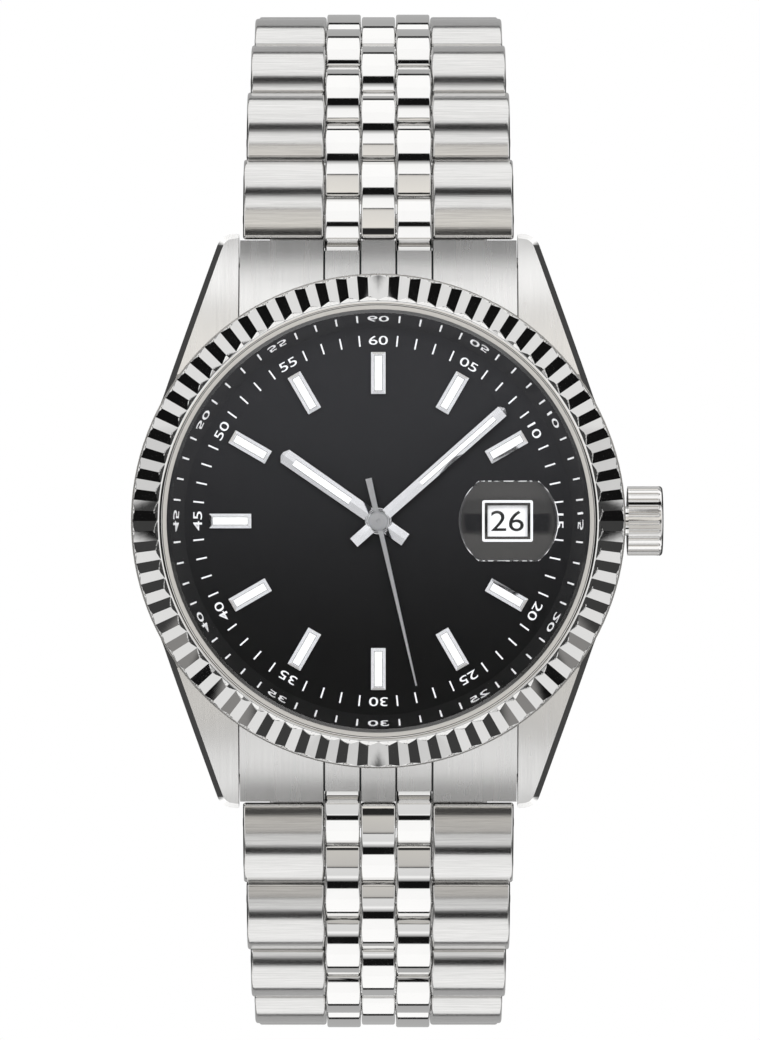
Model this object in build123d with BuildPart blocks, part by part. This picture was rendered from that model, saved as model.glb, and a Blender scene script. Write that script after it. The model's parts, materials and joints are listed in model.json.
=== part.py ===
from build123d import *
import math
import os

# A steel wristwatch: round case with a fluted bezel, a dial with three hands and a date,
# a screw-type crown, a five-column bracelet of hinged rows and a three-blade folding clasp.
#
# Frame: the origin is the centre of the case back's outer flat face, +Z points out through
# the dial, +Y towards 12 o'clock and +X towards the crown. All sizes are in millimetres.

os.makedirs("parts", exist_ok=True)

# ---------------------------------------------------------------- driving dimensions

case_radius = 17.7
case_bottom_z = 0.5
case_top_z = 6.3
neck_radius = 16.2  # the step of the case that the bezel snaps over
neck_top_z = 7.0
movement_bore_radius = 14.6
dial_bore_radius = 15.1
back_recess_radius = 15.4
back_recess_top_z = 1.0

lug_inner_x = 10.05
lug_tip_y = 20.75
lug_tip_z = 3.2
lug_chamfer = 0.42

bezel_outer_radius = 17.57
bezel_inner_radius = 15.4
bezel_top_z = 8.2
flute_outer_radius = 17.4  # the fluted cone runs from here up to its inner radius
flute_outer_z = 7.45
flute_inner_radius = 15.75
flute_inner_z = 8.12
flute_count = 72
flute_depth = 0.33
flute_half_width = 0.77

crystal_radius = 15.08
crystal_bottom_z = 7.1
crystal_top_z = 8.6
lens_radius = 3.55
lens_half_height = 2.86
date_x = 9.27

dial_bottom_z = 4.6
dial_top_z = 5.0
dial_radius = 15.0
flange_inner_radius = 13.9
centre_hole_radius = 0.65
date_window_width = 2.4
date_window_height = 1.87
hour_hand_angle = 304.8  # clockwise from 12 o'clock
minute_hand_angle = 48.5
second_hand_angle = 167
hour_hand_z = 5.5
minute_hand_z = 5.88
second_hand_z = 6.25

movement_radius = 14.45
movement_bottom_z = 1.25
movement_top_z = 4.2
battery_radius = 3.95
battery_height = 1.6
battery_x = -5.5
battery_y = -4.5

stem_z = 3.0
stem_radius = 0.42
crown_radius = 2.5
crown_inner_x = 17.95
crown_outer_x = 20.45
crown_flutes = 27
crown_flute_radius = 0.2
crown_flute_end_x = 20.05

end_link_half_width = 9.95
end_link_back_y = 14.0  # an end link's top is an arc from back through middle to front
end_link_back_z = 6.15
end_link_middle_y = 17.4
end_link_middle_z = 4.95
end_link_front_y = 20.2
end_link_front_z = 3.55
end_link_notch_y = 19.45
engraving_width = 0.16
engraving_depth = 0.2

pin_radius = 0.45
held_pin_gap = 0.02  # round a pin that its own row holds
turning_pin_gap = 0.05  # round a pin that a neighbouring row turns on
row_spacing = 3.5  # from one pin to the next
row_end_gap = 0.08
row_top = 1.4  # the crown of a row, above the plane of its pins
row_bottom = -1.2
centre_half_width = 1.25
bead_inner_x = 1.33
bead_outer_x = 3.85
outer_link_inner_x = 3.93
first_pin_y = 18.6
first_pin_z = 2.6

# how far each row slopes below the horizontal while the clasp is closed, from the case down;
# bead rows and outer rows take turns
row_angles = [24, 32, 37, 43, 51, 57, 65, 74, 84, 95, 106, 117, 128, 139, 150, 160]
# width of the bracelet across each outer row
outer_row_widths = [19.55, 19.2, 18.8, 18.45, 18.1, 17.75, 17.4, 17.05]

clasp_half_width = 8.4
clasp_wall = 1.0
blade_half_width = 6.5
cover_bottom_z = -41.6
cover_plate_top_z = -40.6
cover_wall_top_z = -38.9
cover_end_12_y = 20.5
cover_end_6_y = -17.0
middle_blade_bottom_z = -40.3
middle_blade_top_z = -39.5
base_blade_bottom_z = -39.2
base_blade_top_z = -38.4
base_blade_end_y = -20.4
blade_hinge_y = 15.5  # between the base and middle blades
blade_hinge_z = -39.3
cover_hinge_y = -15.5  # between the middle blade and the cover
cover_hinge_z = -39.9
cover_pin_radius = 0.35
button_y = -9.0
button_z = -39.75
button_radius = 0.65


def clock_plane(degrees, height):
    """A level plane whose local y axis points at a clock angle, counted from 12 o'clock."""
    turn = math.radians(degrees)
    return Plane(
        origin=(0, 0, height),
        x_dir=(math.cos(turn), -math.sin(turn), 0),
        z_dir=(0, 0, 1),
    )


def save(piece, name):
    """Labels a finished piece and writes its STEP file."""
    piece.label = name
    export_step(piece, f"parts/{name}.step")


# ---------------------------------------------------------------- case

with BuildPart() as case_middle:
    with BuildSketch() as lug_plan:
        with BuildLine():
            Polyline(
                (lug_inner_x, 0),
                (lug_inner_x, lug_tip_y),
                (10.64, 20.66),
            )
            ThreePointArc((10.64, 20.66), (11.22, 20.4), (11.59, 19.87))
            Polyline((11.59, 19.87), (15.4, 8.9), (16.9, 5.0), (16.9, 0), (lug_inner_x, 0))
        make_face()
        mirror(about=Plane.YZ)
        mirror(about=Plane.XZ)
    extrude(amount=case_top_z)
    with BuildSketch(Plane.YZ) as lug_side:
        with BuildLine():
            Polyline((0, case_top_z), (10.5, case_top_z))
            ThreePointArc((10.5, case_top_z), (16.2, 5.05), (lug_tip_y, lug_tip_z))
            Polyline((lug_tip_y, lug_tip_z), (lug_tip_y - 0.3, 1.3), (18.2, 0.6), (14.0, 0.6), (0, 0.6))
            Line((0, 0.6), (0, case_top_z))
        make_face()
        mirror(about=Plane.YZ)
    extrude(amount=case_radius, both=True, mode=Mode.INTERSECT)
    # the polished chamfer along each lug's outer top edge
    lug_edges = case_middle.edges().filter_by(
        lambda edge: abs(edge.center().X) > 10.7 and abs(edge.center().Y) > 9 and edge.center().Z > 3
    )
    chamfer(lug_edges.filter_by(lambda edge: edge.bounding_box().size.Y > 0.1), length=lug_chamfer)
    with BuildSketch(Plane.XY.offset(case_bottom_z)):
        Circle(case_radius)
    extrude(amount=case_top_z - case_bottom_z)
    with BuildSketch(Plane.XY.offset(case_top_z)):
        Circle(neck_radius)
    extrude(amount=neck_top_z - case_top_z)
    with BuildSketch(Plane.XZ) as case_hollow:
        with BuildLine():
            Polyline(
                (0, 0),
                (back_recess_radius, 0),
                (back_recess_radius, back_recess_top_z),
                (movement_bore_radius, back_recess_top_z),
                (movement_bore_radius, dial_bottom_z),
                (dial_bore_radius, dial_bottom_z),
                (dial_bore_radius, neck_top_z + 1),
                (0, neck_top_z + 1),
                close=True,
            )
        make_face()
    revolve(axis=Axis.Z, mode=Mode.SUBTRACT)
    with BuildSketch(Plane.YZ.offset(14.0)):
        with Locations((0, stem_z)):
            Circle(1.05)
    extrude(amount=5, mode=Mode.SUBTRACT)
    for side in (-1, 1):
        with BuildSketch(Plane.YZ.offset(side * 10.0)):
            with Locations((-first_pin_y, first_pin_z), (first_pin_y, first_pin_z)):
                Circle(0.4)
        extrude(amount=side * 0.95, mode=Mode.SUBTRACT)
save(case_middle.part, "case_middle")

with BuildPart() as bezel:
    with BuildSketch(Plane.XZ):
        with BuildLine():
            Polyline(
                (neck_radius + 0.02, case_top_z),
                (bezel_outer_radius, case_top_z),
                (bezel_outer_radius, flute_outer_z - 0.2),
                (flute_outer_radius, flute_outer_z),
                (flute_inner_radius, flute_inner_z),
                (15.55, bezel_top_z),
                (bezel_inner_radius, bezel_top_z),
                (bezel_inner_radius, neck_top_z + 0.02),
                (neck_radius + 0.02, neck_top_z + 0.02),
                close=True,
            )
        make_face()
    revolve(axis=Axis.Z)
    # one groove runs down the sloping top; the rest are copies of it round the bezel
    slope = math.atan2(flute_inner_z - flute_outer_z, flute_outer_radius - flute_inner_radius)
    start_radius = flute_outer_radius + 0.8
    groove_plane = Plane(
        origin=(start_radius, 0, flute_outer_z - 0.8 * math.tan(slope)),
        x_dir=(0, 1, 0),
        z_dir=(-math.cos(slope), 0, math.sin(slope)),
    )
    with BuildSketch(groove_plane, mode=Mode.PRIVATE) as groove_section:
        with BuildLine():
            Polyline(
                (-1.5 * flute_half_width, -0.5 * flute_depth),
                (0, flute_depth),
                (1.5 * flute_half_width, -0.5 * flute_depth),
                close=True,
            )
        make_face()
    groove_length = (start_radius - flute_inner_radius) / math.cos(slope)
    groove = extrude(groove_section.sketch, amount=groove_length, mode=Mode.PRIVATE)
    with PolarLocations(0, flute_count):
        add(groove, mode=Mode.SUBTRACT)
save(bezel.part, "bezel")

with BuildPart() as crystal:
    with BuildSketch(Plane.XY.offset(crystal_bottom_z)):
        Circle(crystal_radius)
    extrude(amount=crystal_top_z - crystal_bottom_z)
    chamfer(crystal.edges().group_by(Axis.Z)[-1], length=0.26)
save(crystal.part, "crystal")

with BuildPart() as crystal_gasket:
    with BuildSketch(Plane.XY.offset(crystal_bottom_z)):
        Circle(bezel_inner_radius - 0.02)
        Circle(crystal_radius + 0.01, mode=Mode.SUBTRACT)
    extrude(amount=1.1)
save(crystal_gasket.part, "crystal_gasket")

with BuildPart() as date_lens:
    with BuildSketch(Plane.XY.offset(crystal_top_z)):
        with Locations((date_x, 0)):
            Circle(lens_radius)
            Rectangle(3 * lens_radius, 2 * lens_half_height, mode=Mode.INTERSECT)
    extrude(amount=0.9)
    # the domed top is cut by a large ball that stands on the lens's axis
    dome_radius = 12.0
    with Locations((date_x, 0, crystal_top_z + 0.85 - dome_radius)):
        Sphere(dome_radius, mode=Mode.INTERSECT)
save(date_lens.part, "date_lens")

with BuildPart() as flange_ring:
    with BuildSketch(Plane.XZ):
        with BuildLine():
            Polyline(
                (flange_inner_radius, dial_top_z),
                (dial_bore_radius - 0.04, dial_top_z),
                (dial_bore_radius - 0.04, crystal_bottom_z),
                (14.85, crystal_bottom_z),
                close=True,
            )
        make_face()
    revolve(axis=Axis.Z)
save(flange_ring.part, "flange_ring")

# ---------------------------------------------------------------- dial and hands

with BuildPart() as dial:
    with BuildSketch(Plane.XY.offset(dial_bottom_z)):
        Circle(dial_radius)
        Circle(centre_hole_radius, mode=Mode.SUBTRACT)
        with Locations((date_x, 0)):
            Rectangle(date_window_width, date_window_height, mode=Mode.SUBTRACT)
    extrude(amount=dial_top_z - dial_bottom_z)
save(dial.part, "dial")

marker_angles = [30 * hour for hour in range(12) if hour != 3]  # the date stands at 3 o'clock
with BuildPart() as hour_markers:
    for angle in marker_angles:
        with BuildSketch(clock_plane(angle, dial_top_z)):
            with Locations((0, 10.6)):
                Rectangle(1.04, 3.0)
    extrude(amount=0.45)
    chamfer(hour_markers.edges().group_by(Axis.Z)[-1], length=0.2)
save(hour_markers.part, "hour_markers")

with BuildPart() as hour_hand:
    with BuildSketch(clock_plane(hour_hand_angle, hour_hand_z)):
        with BuildLine():
            Polyline(
                (-0.5, -2.36), (-0.55, 7.5), (0, 8.4), (0.55, 7.5), (0.5, -2.36), close=True
            )
        make_face()
        Circle(1.0)
        Circle(0.37, mode=Mode.SUBTRACT)
    extrude(amount=0.28)
    with BuildSketch(Plane.XY.offset(3.9)):
        Circle(0.55)
        Circle(0.37, mode=Mode.SUBTRACT)
    extrude(amount=hour_hand_z - 3.9)
save(hour_hand.part, "hour_hand")

with BuildPart() as minute_hand:
    with BuildSketch(clock_plane(minute_hand_angle, minute_hand_z)):
        with BuildLine():
            Polyline(
                (-0.4, -2.34), (-0.44, 11.3), (0, 12.1), (0.44, 11.3), (0.4, -2.34), close=True
            )
        make_face()
        Circle(0.85)
        Circle(0.17, mode=Mode.SUBTRACT)
    extrude(amount=0.26)
    with BuildSketch(Plane.XY.offset(3.7)):
        Circle(0.32)
        Circle(0.17, mode=Mode.SUBTRACT)
    extrude(amount=minute_hand_z - 3.7)
save(minute_hand.part, "minute_hand")

with BuildPart() as second_hand:
    with BuildSketch(clock_plane(second_hand_angle, second_hand_z)):
        with BuildLine():
            Polyline(
                (-0.23, -3.15), (-0.17, 0), (-0.06, 12.1), (0.06, 12.1), (0.17, 0), (0.23, -3.15),
                close=True,
            )
        make_face()
        Circle(0.72)
    extrude(amount=0.12)
    with BuildSketch(Plane.XY.offset(3.5)):
        Circle(0.12)
    extrude(amount=second_hand_z - 3.5)
    with BuildSketch(Plane.XY.offset(second_hand_z + 0.12)):
        Circle(0.5)
    extrude(amount=0.14)
save(second_hand.part, "second_hand")

with BuildPart() as date_disc:
    with BuildSketch(Plane.XY.offset(4.28)):
        Circle(11.4)
        Circle(7.6, mode=Mode.SUBTRACT)
    extrude(amount=0.22)
save(date_disc.part, "date_disc")

# ---------------------------------------------------------------- movement and back

with BuildPart() as movement:
    with BuildSketch(Plane.XY.offset(movement_bottom_z)):
        Circle(movement_radius)
    extrude(amount=movement_top_z - movement_bottom_z)
    with BuildSketch(Plane.XY.offset(movement_bottom_z)):
        with Locations((battery_x, battery_y)):
            Circle(battery_radius + 0.05)
    extrude(amount=battery_height + 0.05, mode=Mode.SUBTRACT)
    with BuildSketch(Plane.XY.offset(3.3)):
        Circle(centre_hole_radius)
    extrude(amount=2, mode=Mode.SUBTRACT)
    with BuildSketch(Plane.YZ.offset(5.0)):
        with Locations((0, stem_z)):
            Circle(stem_radius + 0.08)
    extrude(amount=10, mode=Mode.SUBTRACT)
    with BuildSketch(Plane.YZ.offset(8.7)):
        with Locations((0, stem_z)):
            Circle(1.05)
    extrude(amount=2.4, mode=Mode.SUBTRACT)
save(movement.part, "movement")

with BuildPart() as battery:
    with BuildSketch(Plane.XY.offset(movement_bottom_z)):
        with Locations((battery_x, battery_y)):
            Circle(battery_radius)
    extrude(amount=battery_height)
save(battery.part, "battery")

with BuildPart() as case_back:
    with BuildSketch(Plane.XZ):
        with BuildLine():
            Polyline(
                (0, 0),
                (13.7, 0),
                (14.1, 0.25),
                (15.3, 0.5),
                (15.36, 0.85),
                (14.5, 0.85),
                (14.5, 1.15),
                (0, 1.15),
                close=True,
            )
        make_face()
    revolve(axis=Axis.Z)
    # six notches take the wrench that turns the back
    with BuildSketch():
        with PolarLocations(14.9, 6):
            Rectangle(1.2, 1.4)
    extrude(amount=0.6, mode=Mode.SUBTRACT)
save(case_back.part, "case_back")

with BuildPart() as case_back_gasket:
    with BuildSketch(Plane.XY.offset(0.85)):
        Circle(15.36)
        Circle(14.62, mode=Mode.SUBTRACT)
    extrude(amount=0.15)
save(case_back_gasket.part, "case_back_gasket")

# ---------------------------------------------------------------- crown

with BuildPart() as crown_tube:
    with BuildSketch(Plane.YZ.offset(14.75)):
        with Locations((0, stem_z)):
            Circle(1.05)
            Circle(stem_radius + 0.08, mode=Mode.SUBTRACT)
    extrude(amount=3.85)
save(crown_tube.part, "crown_tube")

with BuildPart() as crown:
    with BuildSketch(Plane.YZ.offset(crown_inner_x)):
        with Locations((0, stem_z)):
            Circle(crown_radius)
    extrude(amount=crown_outer_x - crown_inner_x)
    fillet(crown.edges().group_by(Axis.X)[-1], radius=0.2)
    # grip flutes with round ends stop short of the smooth outer rim
    with BuildSketch(Plane.YZ.offset(crown_inner_x)):
        with Locations((0, stem_z)):
            with PolarLocations(crown_radius + 0.08, crown_flutes):
                Circle(crown_flute_radius)
    extrude(amount=crown_flute_end_x - crown_inner_x, mode=Mode.SUBTRACT)
    with Locations(Plane.YZ.offset(crown_flute_end_x)):
        with Locations((0, stem_z)):
            with PolarLocations(crown_radius + 0.08, crown_flutes):
                Sphere(crown_flute_radius, mode=Mode.SUBTRACT)
    with BuildSketch(Plane.YZ.offset(crown_inner_x)):
        with Locations((0, stem_z)):
            Circle(1.15)
    extrude(amount=1.3, mode=Mode.SUBTRACT)
save(crown.part, "crown")

with BuildPart() as winding_stem:
    with BuildSketch(Plane.YZ.offset(5.5)):
        with Locations((0, stem_z)):
            Circle(stem_radius)
    extrude(amount=crown_inner_x + 1.3 - 5.5)
save(winding_stem.part, "winding_stem")

with BuildPart() as setting_lever:
    with BuildSketch(Plane.YZ.offset(9.0)):
        with Locations((0, stem_z)):
            Circle(0.95)
            Circle(stem_radius + 0.06, mode=Mode.SUBTRACT)
    extrude(amount=0.5)
save(setting_lever.part, "setting_lever")

# ---------------------------------------------------------------- end links and spring bars

for side, name in ((1, "end_link_12"), (-1, "end_link_6")):
    with BuildPart() as end_link:
        with BuildSketch(Plane.YZ):
            with BuildLine():
                ThreePointArc(
                    (side * end_link_back_y, end_link_back_z),
                    (side * end_link_middle_y, end_link_middle_z),
                    (side * end_link_front_y, end_link_front_z),
                )
                Polyline(
                    (side * end_link_front_y, end_link_front_z),
                    (side * end_link_front_y, 1.5),
                    (side * 19.6, 0.9),
                    (side * end_link_back_y, 0.9),
                    (side * end_link_back_y, end_link_back_z),
                )
            make_face()
            with Locations((side * first_pin_y, first_pin_z)):
                Circle(pin_radius + held_pin_gap, mode=Mode.SUBTRACT)
        extrude(amount=end_link_half_width, both=True)
        with BuildSketch():
            Circle(case_radius + 0.03)
        extrude(amount=case_top_z, mode=Mode.SUBTRACT)
        # the pockets of the two bead columns: a round seat for the first row's knuckle,
        # the room below it, and the notch in front of it
        for column in (-1, 1):
            column_plane = Plane.YZ.offset(column * (bead_inner_x - 0.05))
            with BuildSketch(column_plane):
                with BuildLine():
                    Polyline(
                        (side * 18.4, 0.5),
                        (side * 21.0, 0.5),
                        (side * 21.0, 6.0),
                        (side * end_link_notch_y, 6.0),
                        (side * end_link_notch_y, first_pin_z + 0.9),
                        (side * first_pin_y, first_pin_z + 0.9),
                        (side * 18.4, first_pin_z),
                        close=True,
                    )
                make_face()
                with Locations((side * first_pin_y, first_pin_z)):
                    Circle(0.9)
            extrude(amount=column * (bead_outer_x - bead_inner_x + 0.1), mode=Mode.SUBTRACT)
        # engraved lines carry the gaps between the bracelet's columns on over the top
        for line_x in (-3.89, -1.29, 1.29, 3.89):
            with BuildSketch(Plane.YZ.offset(line_x - engraving_width / 2)):
                with BuildLine():
                    ThreePointArc(
                        (side * end_link_back_y, end_link_back_z - engraving_depth),
                        (side * end_link_middle_y, end_link_middle_z - engraving_depth),
                        (side * end_link_front_y, end_link_front_z - engraving_depth),
                    )
                    Polyline(
                        (side * end_link_front_y, end_link_front_z - engraving_depth),
                        (side * 21.0, 6.5),
                        (side * end_link_back_y, 6.5),
                        (side * end_link_back_y, end_link_back_z - engraving_depth),
                    )
                make_face()
            extrude(amount=engraving_width, mode=Mode.SUBTRACT)
    save(end_link.part, name)

with BuildPart() as spring_bars:
    for side in (-1, 1):
        with BuildSketch(Plane.YZ):
            with Locations((side * first_pin_y, first_pin_z)):
                Circle(pin_radius)
        extrude(amount=9.9, both=True)
        with BuildSketch(Plane.YZ):
            with Locations((side * first_pin_y, first_pin_z)):
                Circle(0.37)
        extrude(amount=10.85, both=True)
save(spring_bars.part, "spring_bars")

# ---------------------------------------------------------------- bracelet rows

pin_points = [(first_pin_y, first_pin_z)]
for angle in row_angles:
    last_y, last_z = pin_points[-1]
    slope = math.radians(angle)
    pin_points.append(
        (last_y + row_spacing * math.cos(slope), last_z - row_spacing * math.sin(slope))
    )
last_pin_y, last_pin_z = pin_points[-1]


def row_plane(side, index):
    """A row's plane: local x runs down the bracelet, local y points out of the wrist loop."""
    (start_y, start_z), (end_y, end_z) = pin_points[index], pin_points[index + 1]
    return Plane(
        origin=(0, side * (start_y + end_y) / 2, (start_z + end_z) / 2),
        x_dir=(0, side * (end_y - start_y), end_z - start_z),
        z_dir=(side, 0, 0),
    )


half_row = row_spacing - row_end_gap
half_spacing = row_spacing / 2
outer_points = [
    (half_row, 0.25),
    (half_row, -0.1),
    (half_row - 0.8, row_bottom),
    (0.8 - half_row, row_bottom),
    (-half_row, -0.1),
    (-half_row, 0.25),
]

for side, end_name in ((1, "12"), (-1, "6")):
    for index in range(len(row_angles)):
        plane = row_plane(side, index)
        number = index // 2 + 1
        is_bead_row = index % 2 == 0
        if index == 0:
            # the first bead row reaches under the end link with a slim knuckle
            name = f"bead_row_{end_name}_1"
            with BuildPart() as row:
                for column in (-1, 1):
                    with BuildSketch(plane.offset(column * bead_inner_x)):
                        with BuildLine():
                            Polyline((-1.75, 0.7), (-0.65, 0.7), (-0.65, 1.0), (-0.4, 1.36))
                            ThreePointArc((-0.4, 1.36), (1.6, 1.13), (half_row, 0.25))
                            Polyline(
                                (half_row, 0.25),
                                (half_row, -0.1),
                                (half_row - 0.8, row_bottom),
                                (-0.65, row_bottom),
                                (-0.9, -0.8),
                                (-1.75, -0.8),
                                (-1.75, 0.7),
                            )
                        make_face()
                        with Locations((-half_spacing, 0)):
                            Circle(0.8)
                            Circle(pin_radius + turning_pin_gap, mode=Mode.SUBTRACT)
                        with Locations((half_spacing, 0)):
                            Circle(pin_radius + turning_pin_gap, mode=Mode.SUBTRACT)
                    extrude(amount=column * (bead_outer_x - bead_inner_x))
        elif is_bead_row:
            name = f"bead_row_{end_name}_{number}"
            with BuildPart() as row:
                for column in (-1, 1):
                    with BuildSketch(plane.offset(column * bead_inner_x)):
                        with BuildLine():
                            ThreePointArc((-half_row, 0.25), (0, row_top), (half_row, 0.25))
                            Polyline(*outer_points)
                        make_face()
                        with Locations((-half_spacing, 0), (half_spacing, 0)):
                            Circle(pin_radius + turning_pin_gap, mode=Mode.SUBTRACT)
                    extrude(amount=column * (bead_outer_x - bead_inner_x))
        else:
            name = f"outer_row_{end_name}_{number}"
            half_width = outer_row_widths[number - 1] / 2
            spans = (
                (-centre_half_width, centre_half_width),
                (outer_link_inner_x, half_width),
                (-half_width, -outer_link_inner_x),
            )
            with BuildPart() as row:
                for span_start, span_end in spans:
                    with BuildSketch(plane.offset(span_start)):
                        with BuildLine():
                            ThreePointArc((-half_row, 0.25), (0, row_top), (half_row, 0.25))
                            Polyline(*outer_points)
                        make_face()
                        with Locations((-half_spacing, 0), (half_spacing, 0)):
                            Circle(pin_radius + held_pin_gap, mode=Mode.SUBTRACT)
                    extrude(amount=span_end - span_start)
                # the row's two pins, a little shorter than the row is wide
                with BuildSketch(plane):
                    with Locations((-half_spacing, 0), (half_spacing, 0)):
                        Circle(pin_radius)
                extrude(amount=half_width - 0.15, both=True)
        save(row.part, name)

# ---------------------------------------------------------------- clasp

with BuildPart() as clasp_base_blade:
    with BuildSketch(Plane.YZ):
        with BuildLine():
            Polyline(
                (blade_hinge_y, base_blade_bottom_z),
                (blade_hinge_y, base_blade_top_z),
                (base_blade_end_y, base_blade_top_z),
                (base_blade_end_y, base_blade_bottom_z),
                close=True,
            )
        make_face()
    extrude(amount=blade_half_width, both=True)
    # the end at the blade hinge keeps only a centre knuckle
    with BuildSketch(Plane.XY.offset(base_blade_bottom_z - 1)):
        with Locations((0, blade_hinge_y)):
            Rectangle(3 * blade_half_width, 2 * 1.15)
    extrude(amount=3, mode=Mode.SUBTRACT)
    with BuildSketch(Plane.YZ):
        with Locations((blade_hinge_y, blade_hinge_z)):
            Circle(0.9)
        with BuildLine():
            Polyline(
                (blade_hinge_y, blade_hinge_z + 0.1),
                (blade_hinge_y, base_blade_top_z),
                (blade_hinge_y - 1.5, base_blade_top_z),
                (blade_hinge_y - 1.5, blade_hinge_z + 0.1),
                close=True,
            )
        make_face()
    extrude(amount=2.5, both=True)
    with BuildSketch(Plane.YZ):
        with Locations((blade_hinge_y, blade_hinge_z)):
            Circle(pin_radius + held_pin_gap)
    extrude(amount=3, both=True, mode=Mode.SUBTRACT)
    # two lugs reach between the columns of the last row and turn on its pin
    for column in (-1, 1):
        with BuildSketch(Plane.YZ.offset(column * (bead_inner_x + 0.02))):
            with BuildLine():
                Polyline(
                    (base_blade_end_y, base_blade_top_z),
                    (-last_pin_y, last_pin_z + 0.9),
                    (-last_pin_y, last_pin_z - 0.9),
                    (base_blade_end_y, base_blade_bottom_z),
                    close=True,
                )
            make_face()
            with Locations((-last_pin_y, last_pin_z)):
                Circle(0.9)
                Circle(pin_radius + turning_pin_gap, mode=Mode.SUBTRACT)
        extrude(amount=column * (bead_outer_x - bead_inner_x - 0.04))
    with BuildSketch(Plane.YZ):
        with Locations((blade_hinge_y, blade_hinge_z)):
            Circle(pin_radius)
    extrude(amount=blade_half_width - 0.1, both=True)
save(clasp_base_blade.part, "clasp_base_blade")

with BuildPart() as clasp_middle_blade:
    with BuildSketch(Plane.YZ):
        with BuildLine():
            Polyline(
                (blade_hinge_y - 1.3, middle_blade_bottom_z),
                (blade_hinge_y - 1.3, middle_blade_top_z),
                (cover_hinge_y, middle_blade_top_z),
                (cover_hinge_y, middle_blade_bottom_z),
                close=True,
            )
        make_face()
        with Locations((cover_hinge_y, cover_hinge_z)):
            Circle(0.6)
            Circle(cover_pin_radius + turning_pin_gap, mode=Mode.SUBTRACT)
    extrude(amount=blade_half_width, both=True)
    # two forks turn on the blade hinge's pin, either side of the base blade's knuckle
    for column in (-1, 1):
        with BuildSketch(Plane.YZ.offset(column * 2.6)):
            with BuildLine():
                Polyline(
                    (blade_hinge_y, blade_hinge_z - 0.9),
                    (blade_hinge_y - 1.5, middle_blade_bottom_z),
                    (blade_hinge_y - 1.5, middle_blade_top_z),
                    (blade_hinge_y - 0.7, middle_blade_top_z + 0.2),
                    (blade_hinge_y, blade_hinge_z),
                    close=True,
                )
            make_face()
            with Locations((blade_hinge_y, blade_hinge_z)):
                Circle(0.9)
                Circle(pin_radius + turning_pin_gap, mode=Mode.SUBTRACT)
        extrude(amount=column * (blade_half_width - 2.6))
save(clasp_middle_blade.part, "clasp_middle_blade")

with BuildPart() as clasp_cover:
    cover_length = cover_end_12_y - cover_end_6_y
    cover_middle_y = (cover_end_12_y + cover_end_6_y) / 2
    with BuildSketch(Plane.XY.offset(cover_bottom_z)):
        with Locations((0, cover_middle_y)):
            RectangleRounded(2 * clasp_half_width, cover_length, 1.0)
    extrude(amount=cover_wall_top_z - cover_bottom_z)
    with BuildSketch(Plane.XY.offset(cover_plate_top_z)):
        with Locations((0, cover_middle_y)):
            Rectangle(2 * (clasp_half_width - clasp_wall), cover_length + 2)
    extrude(amount=5, mode=Mode.SUBTRACT)
    chamfer(clasp_cover.edges().group_by(Axis.Z)[0], length=0.3)
    # holes for the hinge's pin and for the two buttons
    with BuildSketch(Plane.YZ):
        with Locations((cover_hinge_y, cover_hinge_z)):
            Circle(cover_pin_radius + held_pin_gap)
        with Locations((button_y, button_z)):
            Circle(button_radius + turning_pin_gap)
    extrude(amount=clasp_half_width + 1, both=True, mode=Mode.SUBTRACT)
    # two lugs end in shallow cradles beside the last row's pin on the 12 o'clock side
    for column in (-1, 1):
        with BuildSketch(Plane.YZ.offset(column * (bead_inner_x + 0.02))):
            with BuildLine():
                Polyline(
                    (cover_end_12_y - 1.5, cover_plate_top_z - 0.3),
                    (cover_end_12_y - 1.5, last_pin_z),
                    (cover_end_12_y - 0.5, last_pin_z + 0.8),
                    (last_pin_y - 0.52, last_pin_z + 0.8),
                    (last_pin_y - 0.52, last_pin_z - 0.8),
                    (cover_end_12_y, cover_plate_top_z - 0.3),
                    close=True,
                )
            make_face()
            with Locations((last_pin_y, last_pin_z)):
                Circle(0.6, mode=Mode.SUBTRACT)
        extrude(amount=column * (bead_outer_x - bead_inner_x - 0.04))
    with BuildSketch(Plane.YZ):
        with Locations((cover_hinge_y, cover_hinge_z)):
            Circle(cover_pin_radius)
    extrude(amount=clasp_half_width - 0.1, both=True)
save(clasp_cover.part, "clasp_cover")

for side, name in ((1, "clasp_button_right"), (-1, "clasp_button_left")):
    with BuildPart() as clasp_button:
        with BuildSketch(Plane.YZ.offset(side * 7.25)):
            with Locations((button_y, button_z)):
                Circle(button_radius)
        extrude(amount=side * 1.75)
        chamfer(clasp_button.faces().sort_by(Axis.X)[-1 if side > 0 else 0].edges(), length=0.15)
    save(clasp_button.part, name)
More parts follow.
